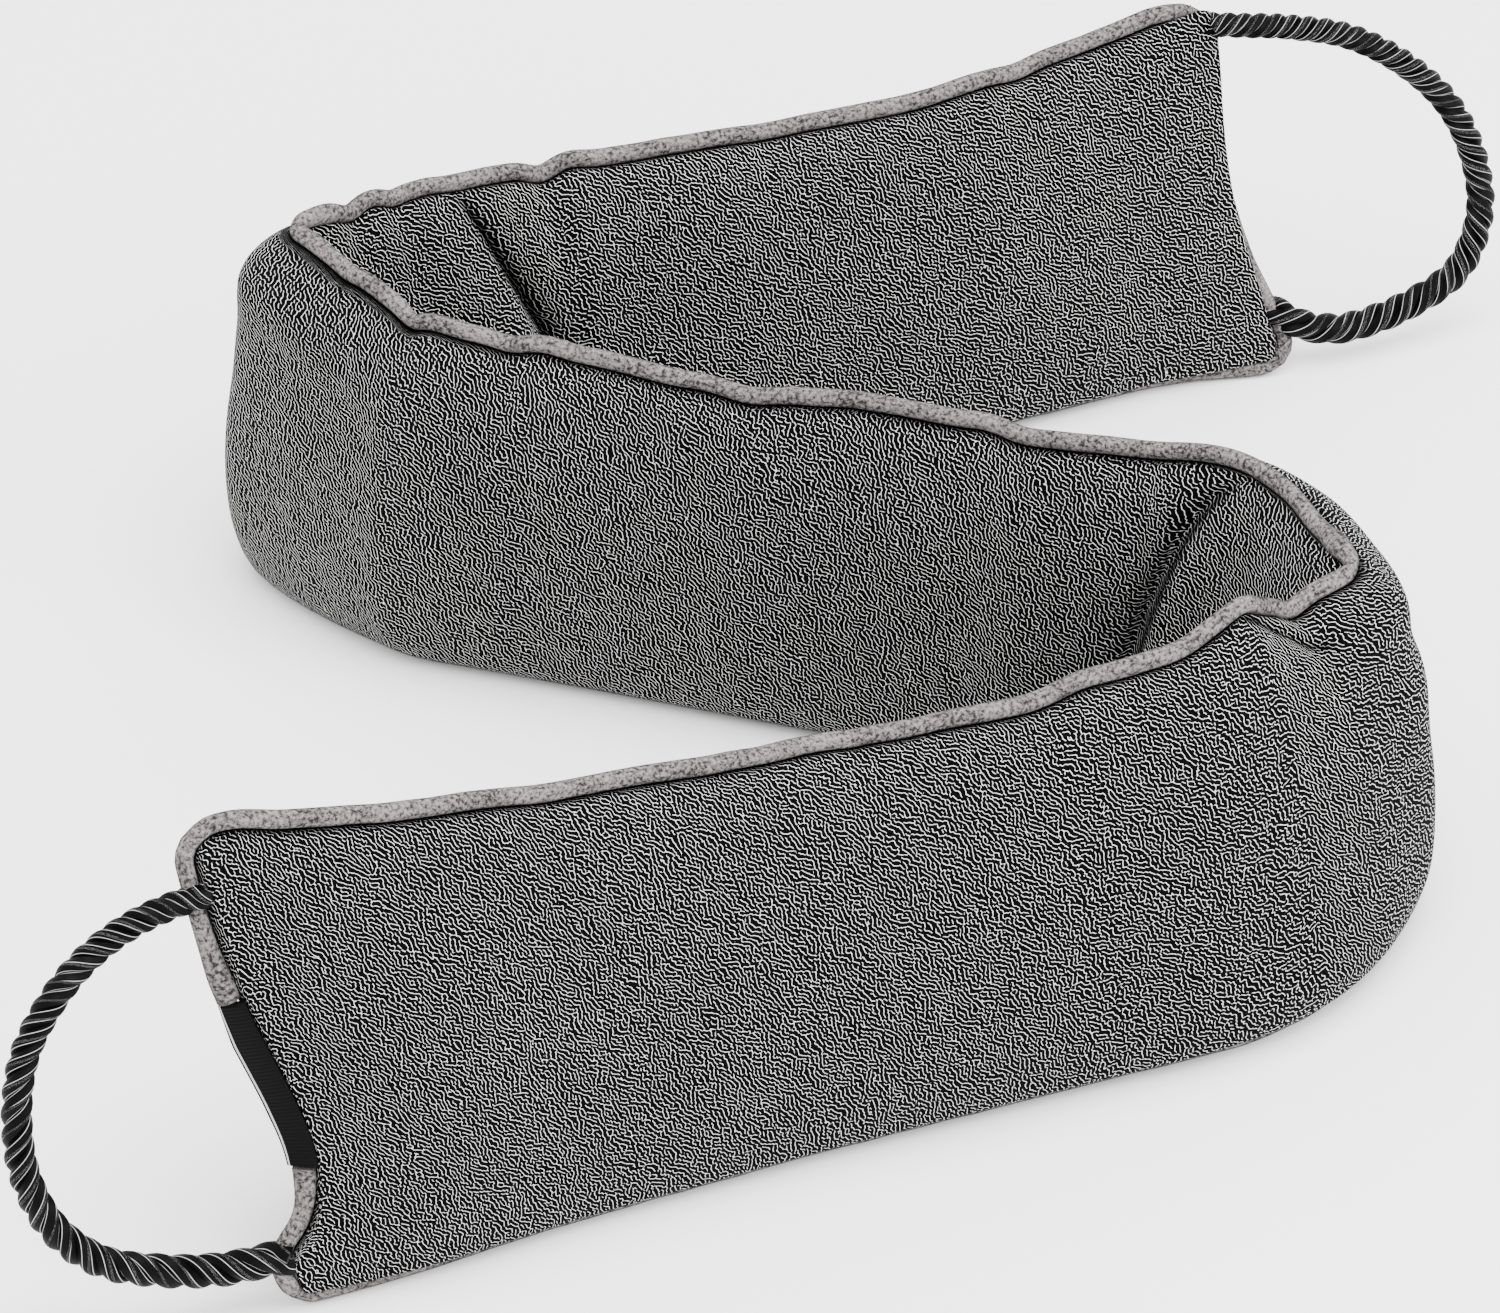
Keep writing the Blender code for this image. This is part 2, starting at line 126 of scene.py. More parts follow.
# Along, rise, half width.
KINKS = (
    (11, 2.4, 9), (55, -1.0, 16), (88, -1.0, 14), (154, 0.7, 7), (169, -0.6, 5), (228, 1.6, 9),
    (252, -0.8, 8), (280, -2.0, 5), (290, -3.0, 5.5), (337, -1.2, 9), (378, 0.8, 10),
    (425, -0.8, 5), (437, 0.6, 5), (470, 0.7, 7), (496, -2.4, 9), (550, 0.9, 5),
    (560, -0.9, 4), (579, 1.4, 7), (586.5, -1.8, 3.5),
    (610, -1.2, 4), (624, 1.2, 6), (653, -2.2, 4), (667.5, -1.4, 3), (678, 0.6, 4), (710, -2.2, 4.5),
    (719, 0.8, 5), (772, -0.6, 10), (822, 0.8, 8), (843, -1.2, 6),
)


def column(rows, names, name):
    """One named column of a table."""
    return np.array([row[names.index(name)] for row in rows], dtype=float)


def unit(v):
    """v / |v| for each row."""
    return v / np.linalg.norm(v, axis=-1, keepdims=True)


def blurred(values, step, width):
    """Values convolved with exp(-x^2 / 2 width^2), the two ends held in place."""
    reach = int(4 * width / step) + 1
    bell = np.exp(-0.5 * (np.arange(-reach, reach + 1) * step / width) ** 2)
    head = 2 * values[0] - values[reach:0:-1]
    tail = 2 * values[-1] - values[-2:-reach - 2:-1]
    return np.convolve(np.concatenate([head, values, tail]), bell / bell.sum(), mode="valid")


def crumple(x, y, size, seed):
    """Smooth random field: sum over a lattice of r(i, j) w(x - i) w(y - j), w = 3t^2 - 2t^3."""
    lattice = np.random.default_rng(seed).uniform(-1, 1, (97, 89))
    x, y = np.broadcast_arrays(x / size, y / size)
    i, j = np.floor(x).astype(int), np.floor(y).astype(int)
    u, v = x - i, y - j
    u, v = u * u * (3 - 2 * u), v * v * (3 - 2 * v)
    pick = lambda a, b: lattice[(i + a) % 97, (j + b) % 89]
    return ((pick(0, 0) * (1 - u) + pick(1, 0) * u) * (1 - v)
            + (pick(0, 1) * (1 - u) + pick(1, 1) * u) * v)


def corner_recess(distance):
    """Fall back of a rounded corner: c - sqrt(c^2 - (c - distance)^2)."""
    left = np.clip(CORNER_RADIUS - distance, 0, None)
    return CORNER_RADIUS - np.sqrt(CORNER_RADIUS ** 2 - left ** 2)


def end_reach(share, width, end):
    """How far an end stands out: rounded corners less draw_in sin(pi share^p)^1.4, plus a flick."""
    _, draw_in, lowest, flick = end
    top = CORNER - corner_recess(share * width + CORNER)
    bottom = CORNER - corner_recess((1 - share) * width + CORNER)
    power = np.log(0.5) / np.log(lowest)
    return (top + bottom - CORNER - draw_in * np.sin(np.pi * share ** power) ** 1.4
            + flick * np.exp(-((share - 0.91) / 0.05) ** 2))


x = column(FOLDS, FOLD_COLUMNS, "x")
y = column(FOLDS, FOLD_COLUMNS, "y")
run = np.concatenate([[0], np.cumsum(np.hypot(np.diff(x), np.diff(y)))])
fine = np.linspace(0, run[-1], 1201)
line = {}
for name in FOLD_COLUMNS:
    raw = np.interp(fine, run, column(FOLDS, FOLD_COLUMNS, name))
    line[name] = blurred(raw, fine[1], 4.5 if name in ("x", "y", "height") else 9.0)
easy = [blurred(np.interp(fine, run, v), fine[1], 20.0) for v in (x, y)]
line["heading"] = np.unwrap(np.arctan2(np.gradient(easy[1]), np.gradient(easy[0])))
length = run[-1]
crowd = (1 + 2.0 * np.exp(-fine / 16) + 2.0 * np.exp((fine - length) / 16)
         + 1.8 * np.exp(-((fine - 383) / 24) ** 4) + 1.8 * np.exp(-((fine - 702) / 16) ** 4))
crowd = np.concatenate([[0], np.cumsum(0.5 * (crowd[1:] + crowd[:-1]))])
within = np.interp((END_GAP, length - END_GAP), fine, crowd)
s = np.concatenate([[0], np.interp(np.linspace(*within, STATIONS - 2), crowd, fine), [length]])
at = {name: np.interp(s, fine, values) for name, values in line.items()}
along = np.stack([np.cos(at["heading"]), np.sin(at["heading"]), 0 * s], axis=1)
front = np.stack([np.sin(at["heading"]), -np.cos(at["heading"]), 0 * s], axis=1)
up = np.array([0.0, 0.0, 1.0])
drop = corner_recess(s + CORNER) + corner_recess(length - s + CORNER)
slant = (LEFT_END[0] * np.exp(-((s / SLANT_REACH) ** 1.5))
         + RIGHT_END[0] * np.exp(-(((length - s) / SLANT_REACH) ** 1.5)))
ground = np.stack([at["x"], at["y"], 0 * s], axis=1)
kink = sum(rise * np.exp(-((s - place) / half) ** 2) for place, rise, half in KINKS)
wave = 0.35 * crumple(s, 0 * s, 13.0, 2)
lift = np.interp(s, column(LIFTS, LIFT_COLUMNS, "along"), column(LIFTS, LIFT_COLUMNS, "rise"))
seam_top = ground + up * (at["height"] - PIPING_RADIUS - drop + kink + wave + lift)[:, None]
seam_bottom = (ground + front * at["foot"][:, None] + along * slant[:, None]
               + up * (PIPING_RADIUS + PIPING_LIFT + drop)[:, None])
seam_width = np.linalg.norm(seam_top - seam_bottom, axis=1)
whole = (np.arange(ROWS) + 1) / (ROWS + 1)
shares = EDGE + (1 - 2 * EDGE) * (0.4 * whole + 0.6 * (0.5 - 0.5 * np.cos(np.pi * whole)))


def end_pull(share):
    """Shift of a row along the cushion: reach times exp(-(s / PULL_REACH)^1.4) at each end."""
    left = end_reach(share, seam_width[0], LEFT_END)
    right = end_reach(share, seam_width[-1], RIGHT_END)
    fade_left = np.exp(-((s / PULL_REACH) ** 1.4))
    fade_right = np.exp(-(((length - s) / PULL_REACH) ** 1.4))
    return (right * fade_right - left * fade_left)[:, None] * along


def fold_distance(row, share):
    """Distance in mm from a point (s, CLOTH_DROP share) of a panel to a short fold's line."""
    _, from_along, from_share, to_along, to_share, _, _ = row
    start = np.array([from_along, from_share * CLOTH_DROP])
    ahead = np.array([to_along, to_share * CLOTH_DROP]) - start
    x, y = s - start[0], share * CLOTH_DROP - start[1]
    part = np.clip((x * ahead[0] + y * ahead[1]) / (ahead @ ahead), 0, 1)
    return np.hypot(x - part * ahead[0], y - part * ahead[1])


def painted_crease_shade(panel, share):
    """Painted shade for the cloth's colour, 0 to 1: bells across the sharp creases and short folds."""
    deep = 0 * s
    for name, place, sweep, power, _, wide in CREASES:
        if name == panel and wide < 3:
            gap = (s - place - sweep * share ** power) / 1.5
            ends = np.clip(np.sin(np.pi * share) * 4, 0, 1)
            deep = np.maximum(deep, np.exp(-np.abs(gap) ** 2) * ends)
    for row in FOLDS_IN:
        if row[0] == panel:
            deep = np.maximum(deep, np.exp(-(fold_distance(row, share) / 1.0) ** 2))
    return deep


def bulge(panel, share, seed):
    """Height over the chord: swell (4t(1-t))^0.5 + puffs - creases + lumps + puckers at the seam."""
    t = (share - EDGE) / (1 - 2 * EDGE) if panel == "front" else (share - EDGE) / (1 - EDGE)
    swell = np.sqrt(np.clip(4 * t * (1 - t), 0, None))
    out = at[panel] * swell
    for name, place, sweep, power, deep, wide in CREASES:
        if name == panel:
            gap = (s - place - sweep * share ** power) / wide
            out = out - deep * np.sin(np.pi * share) ** 0.8 * np.exp(-np.abs(gap) ** 1.5)
    for row in FOLDS_IN:
        if row[0] == panel:
            out = out - row[5] * np.exp(-(fold_distance(row, share) / row[6]) ** 1.5)
    for name, place, level, reach, puff in PUFFS:
        if name == panel:
            high = np.exp(-((share - level) / 0.11) ** 2)
            out = out + puff * high * np.exp(-((s - place) / reach) ** 2)
    down = share * CLOTH_DROP
    lumps = 1.1 * crumple(s, down, 46.0, seed) + 0.5 * crumple(s, down, 17.0, seed + 1)
    pucker = 1.3 * crumple(s, down * 0.35, 9.0, seed + 2) * np.exp(-down / 9.0)
    return out + lumps * swell ** 2 + pucker * swell


def panels():
    """Both panels: P(s, t) = top + t chord + outward height(s, t), flattened near the ends.

    The back panel goes down a wall to its toe, and then under the cushion to the seam. The
    front one hangs a little over the lower seam, covers the seam at the right end, and is
    evened out along s below the top seam where it enters the right bend.
    """
    chord = seam_bottom - seam_top
    outward = unit(np.cross(chord, along))
    outward = outward * np.sign((outward * front).sum(axis=1, keepdims=True))
    near_end = np.minimum(s, length - s)
    fill = ((1 - (1 - np.clip(near_end / END_INFLATE, 0, 1)) ** 2) ** 0.55)[:, None]
    toe = ground + slant[:, None] * along - front * at["toe"][:, None] + up * 0.05
    wall = toe - seam_top
    wall_out = unit(np.cross(along, wall))
    wall_out = -wall_out * np.sign((wall_out * front).sum(axis=1, keepdims=True))
    width = (at["toe"] + at["foot"])[:, None]
    rows_front, rows_back = [], []
    for share in shares:
        flat = seam_top + chord * share + end_pull(share)
        full = flat + outward * bulge("front", share, 5)[:, None]
        full = full - up * (OVERHANG * np.exp(-((1 - share - EDGE) / 0.03) ** 2))
        over = np.exp(-((length - s) / 9.5) ** 2)[:, None] * min(1.0, (1 - share) / 0.25)
        rounded = 1 - np.exp(-((length - s) / 5.5) ** 2)[:, None]
        over = over * (along * END_COVER[0] * (1 - np.exp(-share / 0.05))
                       + up * END_COVER[1] * rounded * np.exp(-share / 0.08))
        full = full + over
        pinched = flat + outward * PINCHED_HALF
        pinched = pinched + over
        rows_front.append(pinched + (full - pinched) * fill)
        v = EDGE + (share - EDGE) / WALL_SHARE
        if v < 1:
            full = seam_top + wall * v + end_pull(share) + wall_out * bulge("back", v, 15)[:, None]
        else:
            under = 0.02 + 0.98 * (share - WALL_SHARE) / 0.18
            full = toe + front * (under * (width - 3.4))
        pinched = flat - outward * PINCHED_HALF
        near = np.exp(-((length - s) / TUCK_REACH) ** 2)[:, None]
        moved = (front * RIGHT_TUCK[0] + along * RIGHT_TUCK[1]) * near
        rows_back.append(pinched + (full - pinched) * fill - moved * min(1.0, (1 - share) / 0.25))
    rows_front, rows_back = np.stack(rows_front, axis=1), np.stack(rows_back, axis=1)
    place, reach, blur = EVENED
    even = np.apply_along_axis(blurred, 0, rows_front, length / STATIONS, blur)
    below = np.clip((shares - 0.06) / 0.25, 0, 1)
    part = (np.exp(-((s - place) / reach) ** 4)[:, None, None]
            * (below ** 2 * (3 - 2 * below))[:, None])
    return rows_front + (even - rows_front) * part, rows_back


def seam_loop():
    """Centre of the seam and its inward direction, once round from the upper left corner.

    Along the foot and round the right end it is tucked back under the front panel.
    """
    inner_bottom = -front * np.cos(np.radians(30)) + up * np.sin(np.radians(30))
    right = seam_top[-1] + (seam_bottom[-1] - seam_top[-1]) * shares[:, None]
    right = right + np.stack([end_pull(t)[-1] for t in shares])
    left = seam_top[0] + (seam_bottom[0] - seam_top[0]) * shares[:, None]
    left = left + np.stack([end_pull(t)[0] for t in shares])
    near = np.exp(-((length - s) / TUCK_REACH) ** 2)[:, None]
    more, place, reach = BEND_TUCK
    tuck = (FOOT_TUCK + more * np.exp(-((s - place) / reach) ** 4)
            - FOOT_TUCK * np.exp(-((length - s) / 14.0) ** 2))
    low = seam_bottom - front * tuck[:, None] - up * 0.5
    high = seam_top - (front * RIGHT_TUCK[0] + along * RIGHT_TUCK[1] + up * CORNER_SINK) * near
    fade = np.clip((1 - shares) / 0.25, 0, 1)[:, None]
    right = right - (front[-1] * RIGHT_TUCK[0] + along[-1] * RIGHT_TUCK[1]) * fade
    sink = CORNER_SINK * np.exp(-(shares * CLOTH_DROP / TUCK_REACH) ** 2)
    right = right - up * sink[:, None]
    centre = np.vstack([high, right, low[::-1], left[::-1]])
    inward = np.vstack([np.tile(-up, (STATIONS, 1)), np.tile(-along[-1], (ROWS, 1)),
                        inner_bottom[::-1], np.tile(along[0], (ROWS, 1))])
    for _ in range(12):
        inward = unit(np.roll(inward, 1, 0) + 2 * inward + np.roll(inward, -1, 0))
    tangent = unit(np.roll(centre, -1, 0) - np.roll(centre, 1, 0))
    inward = unit(inward - tangent * (inward * tangent).sum(axis=1, keepdims=True))
    return centre, inward, np.cross(tangent, inward)


def quads(index):
    """Faces between neighbouring rows and columns of a table of point numbers."""
    return np.stack([index[:-1, :-1], index[1:, :-1], index[1:, 1:], index[:-1, 1:]],
                    axis=-1).reshape(-1, 4)


def add_piece(name, points, faces, uv=None):
    """A smooth mesh object from points in mm, placed in its mesh, with its own UV in metres."""
    mesh = bpy.data.meshes.new(name)
    mesh.from_pydata(((points + MIDDLE) * 0.001).tolist(), [], faces)
    mesh.update()
    if uv is not None:
        corner = np.empty(len(mesh.loops), dtype=np.int64)
        mesh.loops.foreach_get("vertex_index", corner)
        layer = mesh.uv_layers.new(name="cloth")
        layer.data.foreach_set("uv", (uv[corner] * 0.001).ravel())
    mesh.polygons.foreach_set("use_smooth", np.ones(len(mesh.polygons), dtype=bool))
    piece = bpy.data.objects.new(name, mesh)
    bpy.context.scene.collection.objects.link(piece)
    return piece


seam_centre, seam_inward, seam_side = seam_loop()
PANELS = front_panel, back_panel = panels()
loop_count = len(seam_centre)
turn = np.radians([-38.0, -12.0, 12.0, 38.0])
groove = (seam_centre[:, None] + (PIPING_RADIUS * 1.12)
          * (seam_inward[:, None] * np.cos(turn)[:, None]
             + seam_side[:, None] * np.sin(turn)[:, None]))
groove_index = np.arange(loop_count * 4).reshape(loop_count, 4)
front_index = loop_count * 4 + np.arange(STATIONS * ROWS).reshape(STATIONS, ROWS)
back_index = front_index + STATIONS * ROWS
top_run = np.arange(STATIONS)
right_run = np.arange(STATIONS, STATIONS + ROWS)
bottom_run = np.arange(STATIONS + ROWS, 2 * STATIONS + ROWS)[::-1]
left_run = np.arange(2 * STATIONS + ROWS, loop_count)[::-1]
faces = quads(np.vstack([groove_index, groove_index[:1]])).tolist()
for panel_index, edge in ((front_index, 0), (back_index, 3)):
    sheet = np.empty((STATIONS, ROWS + 2), dtype=int)
    sheet[:, 0] = groove_index[top_run, edge]
    sheet[:, -1] = groove_index[bottom_run, edge]
    sheet[1:-1, 1:-1] = panel_index[1:-1]
    sheet[0, 1:-1] = groove_index[left_run, edge]
    sheet[-1, 1:-1] = groove_index[right_run, edge]
    panel_faces = quads(sheet)
    faces.extend((panel_faces if edge == 0 else panel_faces[:, ::-1]).tolist())
points = np.vstack([groove.reshape(-1, 3), front_panel.reshape(-1, 3), back_panel.reshape(-1, 3)])


def in_picture(steps):
    """How much of each step the picture shows, 0.8 to 1: |(x, y sin 35 + z cos 35)| / |step|.

    The loops are too fine to be seen edge-on, so the pattern is drawn a little coarser there.
    """
    rise = steps[..., 1] * np.sin(np.radians(35)) + steps[..., 2] * np.cos(np.radians(35))
    return np.clip(np.hypot(steps[..., 0], rise) / np.linalg.norm(steps, axis=-1) / 0.85, 0.8, 1)


def girth(panel):
    """Distance down the cloth from the top seam, less where the picture sees it edge-on."""
    steps = np.diff(panel, axis=1)
    steps = np.linalg.norm(steps, axis=2) * in_picture(steps)
    return np.concatenate([0 * s[:, None] + 2.0, 2.0 + np.cumsum(steps, axis=1)], axis=1)


def cloth_run(panel):
    """Distance along each row, the same for all but near the ends, where each row has its own.

    It is that of the upper third, less where it is stretched or seen edge-on.
    """
    steps = np.diff(panel[:, ROWS // 3], axis=0)
    shown = blurred(in_picture(steps), length / STATIONS, 4.0)
    steps = np.linalg.norm(steps, axis=1)
    steps = np.minimum(steps, 0.45 * steps + 0.55 * np.diff(s)) * shown
    own = np.linalg.norm(np.diff(panel, axis=0), axis=2)
    near_end = np.minimum(s, length - s)[1:, None] < OWN_RUN
    gone = np.cumsum(np.vstack([np.zeros(ROWS), np.where(near_end, own, steps[:, None])]), axis=0)
    return gone - gone[STATIONS // 2]


def cloth_uv():
    """UV of every point: u along the cushion, v down the front panel or up the back one."""
    front_v, back_v = girth(front_panel), girth(back_panel)
    front_u, back_u = map(cloth_run, PANELS)
    strip_u = np.concatenate([front_u[:, 0], front_u[-1], front_u[::-1, -1], front_u[0, ::-1]])
    strip_v = np.concatenate([0 * s, shares * CLOTH_DROP, 0 * s + CLOTH_DROP + 3,
                              shares[::-1] * CLOTH_DROP])
    strip = np.stack([strip_u, strip_v], axis=1).repeat(4, axis=0)
    return np.vstack([strip, np.stack([front_u, front_v], -1).reshape(-1, 2),
                      np.stack([back_u, -back_v], -1).reshape(-1, 2)])


used = np.unique(np.array(faces))
renumber = np.zeros(len(points), dtype=int)
renumber[used] = np.arange(len(used))
cushion = add_piece("cushion_cloth", points[used], renumber[np.array(faces)].tolist(),
                    cloth_uv()[used])
# Painted shade, 0 to 1 at each point: full on the groove under the piping, this much on the cloth's
# first row beside the seam, and bells along the creases and short folds.
PAINTED_SEAM_SHADE = 0.6
painted_shade_front, painted_shade_back = (np.stack([painted_crease_shade(name, share) for share in shares], axis=1)
                         for name in ("front", "back"))
painted_shade_front[:, 0] = painted_shade_back[:, 0] = PAINTED_SEAM_SHADE
deep = np.concatenate([np.ones(loop_count * 4), painted_shade_front.ravel(), painted_shade_back.ravel()])
painted_fold_shade = cushion.data.attributes.new("painted_fold_shade", "FLOAT", "POINT")
painted_fold_shade.data.foreach_set("value", deep[used])


def srgb(code):
    """Linear colour of an sRGB hex value: ((c + 0.055) / 1.055)^2.4."""
    c = np.array([int(code[i:i + 2], 16) / 255 for i in (1, 3, 5)])
    low, high = c / 12.92, ((c + 0.055) / 1.055) ** 2.4
    return (*np.where(c <= 0.04045, low, high).tolist(), 1.0)


def node(tree, kind, links=(), **settings):
    """Add one node: its settings by name or socket number, and its input links."""
    made = tree.nodes.new(kind)
    for key, value in settings.items():
        if key.startswith("in_"):
            socket = key[3:]
            made.inputs[int(socket) if socket.isdigit() else socket].default_value = value
        else:
            setattr(made, key, value)
    for target, source in links:
        tree.links.new(source, made.inputs[target])
    return made


def fabric(name):
    """An empty node material and its shader and output."""
    material = bpy.data.materials.new(name)
    material.use_nodes = True
    tree = material.node_tree
    return material, tree, tree.nodes["Principled BSDF"]


# Looped-pile cloth: short curled loops about a millimetre across, drawn as a wandering
# pattern of pale yarn over dark gaps. The real lines lie 0.9 to 1.4 mm apart; they are
# drawn 1.1 to 1.2 mm apart, a little coarse, to be seen at the picture's size. It is matt.
# Painted shade darkens its colour in the creases and short folds, beside the seam, and
# to black in the groove under the piping.
boucle, tree, shader = fabric("boucle_cloth_grey")
place = node(tree, "ShaderNodeUVMap", uv_map="cloth")
sway = node(tree, "ShaderNodeTexNoise", [("Vector", place.outputs[0])], in_Scale=160.0, in_Detail=1.0)
swayed = node(tree, "ShaderNodeVectorMath", [(0, sway.outputs["Color"])], operation="SCALE",
              in_Scale=0.0012)
moved = node(tree, "ShaderNodeVectorMath", [(0, place.outputs[0]), (1, swayed.outputs[0])])
loops = node(tree, "ShaderNodeTexGabor", [("Vector", moved.outputs[0])], in_Scale=445.0,
             in_Frequency=2.0, in_Anisotropy=0.45)
loops.inputs["Orientation"].default_value = 2.5
turned = node(tree, "ShaderNodeMath", [(0, loops.outputs["Phase"])], operation="MULTIPLY",
              in_1=2 * np.pi)
ridge = node(tree, "ShaderNodeMath", [(0, turned.outputs[0])], operation="SINE")
tufts = node(tree, "ShaderNodeMapRange", [("Value", ridge.outputs[0])], interpolation_type="SMOOTHSTEP")
tufts.inputs["From Min"].default_value = 0.86
tufts.inputs["From Max"].default_value = 1.0
shade = node(tree, "ShaderNodeTexNoise", [("Vector", place.outputs[0])], in_Scale=28.0, in_Detail=4.0)
tone = node(tree, "ShaderNodeMapRange", [("Value", shade.outputs[0])])
tone.inputs["To Min"].default_value = 0.85
tone.inputs["To Max"].default_value = 1.15
# Painted shade: the yarn colour is multiplied by 1 less the painted shade kept at each point, and by
# the random tone.
depth = node(tree, "ShaderNodeAttribute", attribute_name="painted_fold_shade")
light = node(tree, "ShaderNodeMath", [(1, depth.outputs["Fac"])], operation="SUBTRACT", in_0=1.0)
tone_and_painted_shade = node(tree, "ShaderNodeMath", [(0, light.outputs[0]), (1, tone.outputs[0])], operation="MULTIPLY")
yarn = node(tree, "ShaderNodeMix", [("Factor", tufts.outputs[0])], data_type="RGBA",
            in_6=srgb("#030303"), in_7=srgb("#DEDEDE"))
yarn_colour_with_painted_shade = node(tree, "ShaderNodeVectorMath", [(0, yarn.outputs[2]), ("Scale", tone_and_painted_shade.outputs[0])],
             operation="SCALE")
raised = node(tree, "ShaderNodeBump", [("Height", tufts.outputs[0])], in_Distance=0.0005,
              in_Strength=0.35)
tree.links.new(yarn_colour_with_painted_shade.outputs[0], shader.inputs["Base Color"])
tree.links.new(raised.outputs[0], shader.inputs["Normal"])
shader.inputs["Roughness"].default_value = 1.0
shader.inputs["Specular IOR Level"].default_value = 0.04
cushion.data.materials.append(boucle)
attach(cushion, "root")
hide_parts("filled_body")

# The piping: a cord covered with a bias strip of smooth grey cloth, caught in the seam as
# the panels were sewn. It runs round the whole cushion from one end of the closure tape to
# the other.
TAPE_FROM = 0.345
TAPE_TO = 0.735
PIPING_SIDES = 20
# Along, swell, half width.
BEADS = ((325, 0.35, 4.5), (313, -0.3, 3), (586.5, -0.15, 2.5), (634, -0.35, 3), (646, 0.2, 4))


def tube(rings):
    """Points and faces of a tube through rings of points, closed with a fan at each end."""
    count, sides, _ = rings.shape
    index = np.arange(count * sides).reshape(count, sides)
    caps = np.stack([rings[0].mean(axis=0), rings[-1].mean(axis=0)])
    start, end = count * sides, count * sides + 1
    body = quads(np.hstack([index, index[:, :1]]))
    ring = np.hstack([index, index[:, :1]])
    first = np.stack([ring[0, :-1], ring[0, 1:], np.full(sides, start)], axis=1)
    last = np.stack([ring[-1, 1:], ring[-1, :-1], np.full(sides, end)], axis=1)
    return np.vstack([rings.reshape(-1, 3), caps]), body.tolist() + first.tolist() + last.tolist()


def outward(piece):
    """Turn the faces of a closed piece outwards."""
    shell = bmesh.new()
    shell.from_mesh(piece.data)
    bmesh.ops.recalc_face_normals(shell, faces=shell.faces[:])
    shell.to_mesh(piece.data)
    shell.free()


outward(cushion)
first = left_run[0] - np.interp(TAPE_FROM, shares, np.arange(ROWS))
last = loop_count + left_run[0] - np.interp(TAPE_TO, shares, np.arange(ROWS))
spots = np.linspace(first, last, 1500)


def sampled(values, places):
    """Values between neighbouring points of the closed seam."""
    low = np.floor(places).astype(int)
    part = (places - low)[:, None]
    return values[low % loop_count] * (1 - part) + values[(low + 1) % loop_count] * part


cord_centre = sampled(seam_centre, spots)
cord_inward = unit(sampled(seam_inward, spots))
cord_side = unit(sampled(seam_side, spots))
cord_run = np.concatenate([[0], np.cumsum(np.linalg.norm(np.diff(cord_centre, axis=0), axis=1))])
around = np.arange(PIPING_SIDES) * 2 * np.pi / PIPING_SIDES
gone_by = sampled(np.concatenate([s, np.full(ROWS, length), s[::-1], 0 * shares])[:, None], spots)[:, 0]
on_top = np.floor(spots).astype(int) % loop_count < STATIONS
pinch = 1 + 0.06 * crumple(cord_run[:, None], 9 * around[None, :] / np.pi, 7.0, 21)
at_tape = np.exp(-(cord_run / 13) ** 2) * 0.42 + np.exp(-((cord_run[-1] - cord_run) / 8) ** 2) * 0.25
pinch = pinch + at_tape[:, None]
for place, swell, half in BEADS:
    pinch = pinch + (on_top * swell * np.exp(-((gone_by - place) / half) ** 2))[:, None]
rings = (cord_centre[:, None] + (PIPING_RADIUS * pinch)[..., None]
         * (cord_inward[:, None] * np.cos(around)[:, None]
            + cord_side[:, None] * np.sin(around)[:, None]))
tube_points, tube_faces = tube(rings)
tube_uv = np.stack([np.repeat(cord_run, PIPING_SIDES),
                    np.tile(PIPING_RADIUS * (around - np.pi), len(cord_run))], axis=1)
tube_uv = np.vstack([tube_uv, tube_uv[[0, -1]]])
piping = add_piece("piping_cord", tube_points, tube_faces, tube_uv)
outward(piping)

# Plain-woven cotton strip: a fine even grain, a little worn and pilled by the loops beside it,
# with painted shade darkening it where it turns away from view into the seam.
strip, tree, shader = fabric("piping_cotton_warm_grey")
place = node(tree, "ShaderNodeUVMap", uv_map="cloth")
grain = node(tree, "ShaderNodeTexNoise", [("Vector", place.outputs[0])], in_Scale=900.0, in_Detail=3.0,
             in_Roughness=0.7)
wear = node(tree, "ShaderNodeTexNoise", [("Vector", place.outputs[0])], in_Scale=90.0, in_Detail=3.0)
mixed = node(tree, "ShaderNodeMath", [(0, wear.outputs[0]), (2, grain.outputs[0])],
             operation="MULTIPLY_ADD", in_1=0.3)
spread = node(tree, "ShaderNodeMapRange", [("Value", mixed.outputs[0])])
spread.inputs["From Min"].default_value = 0.54
spread.inputs["From Max"].default_value = 0.76
cloth = node(tree, "ShaderNodeMix", [("Factor", spread.outputs[0])], data_type="RGBA",
             in_6=srgb("#1C1A1A"), in_7=srgb("#767170"))
# Painted shade: the cotton's colour is darkened towards the piping's edges as seen, where it turns away
# from view.
facing_for_painted_shade = node(tree, "ShaderNodeLayerWeight", in_Blend=0.5)
painted_rim_shade = node(tree, "ShaderNodeMapRange", [("Value", facing_for_painted_shade.outputs["Facing"])])
painted_rim_shade.inputs["From Min"].default_value = 0.5
painted_rim_shade.inputs["From Max"].default_value = 0.95
painted_rim_shade.inputs["To Min"].default_value = 1.0
painted_rim_shade.inputs["To Max"].default_value = 0.15
cotton_with_painted_rim_shade = node(tree, "ShaderNodeVectorMath", [(0, cloth.outputs[2]), ("Scale", painted_rim_shade.outputs[0])],
              operation="SCALE")
raised = node(tree, "ShaderNodeBump", [("Height", grain.outputs[0])], in_Distance=0.0003,
              in_Strength=0.5)
tree.links.new(cotton_with_painted_rim_shade.outputs[0], shader.inputs["Base Color"])
tree.links.new(raised.outputs[0], shader.inputs["Normal"])
shader.inputs["Roughness"].default_value = 0.9
shader.inputs["Specular IOR Level"].default_value = 0.2
piping.data.materials.append(strip)
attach(piping, "root")
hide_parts("seam_piping")

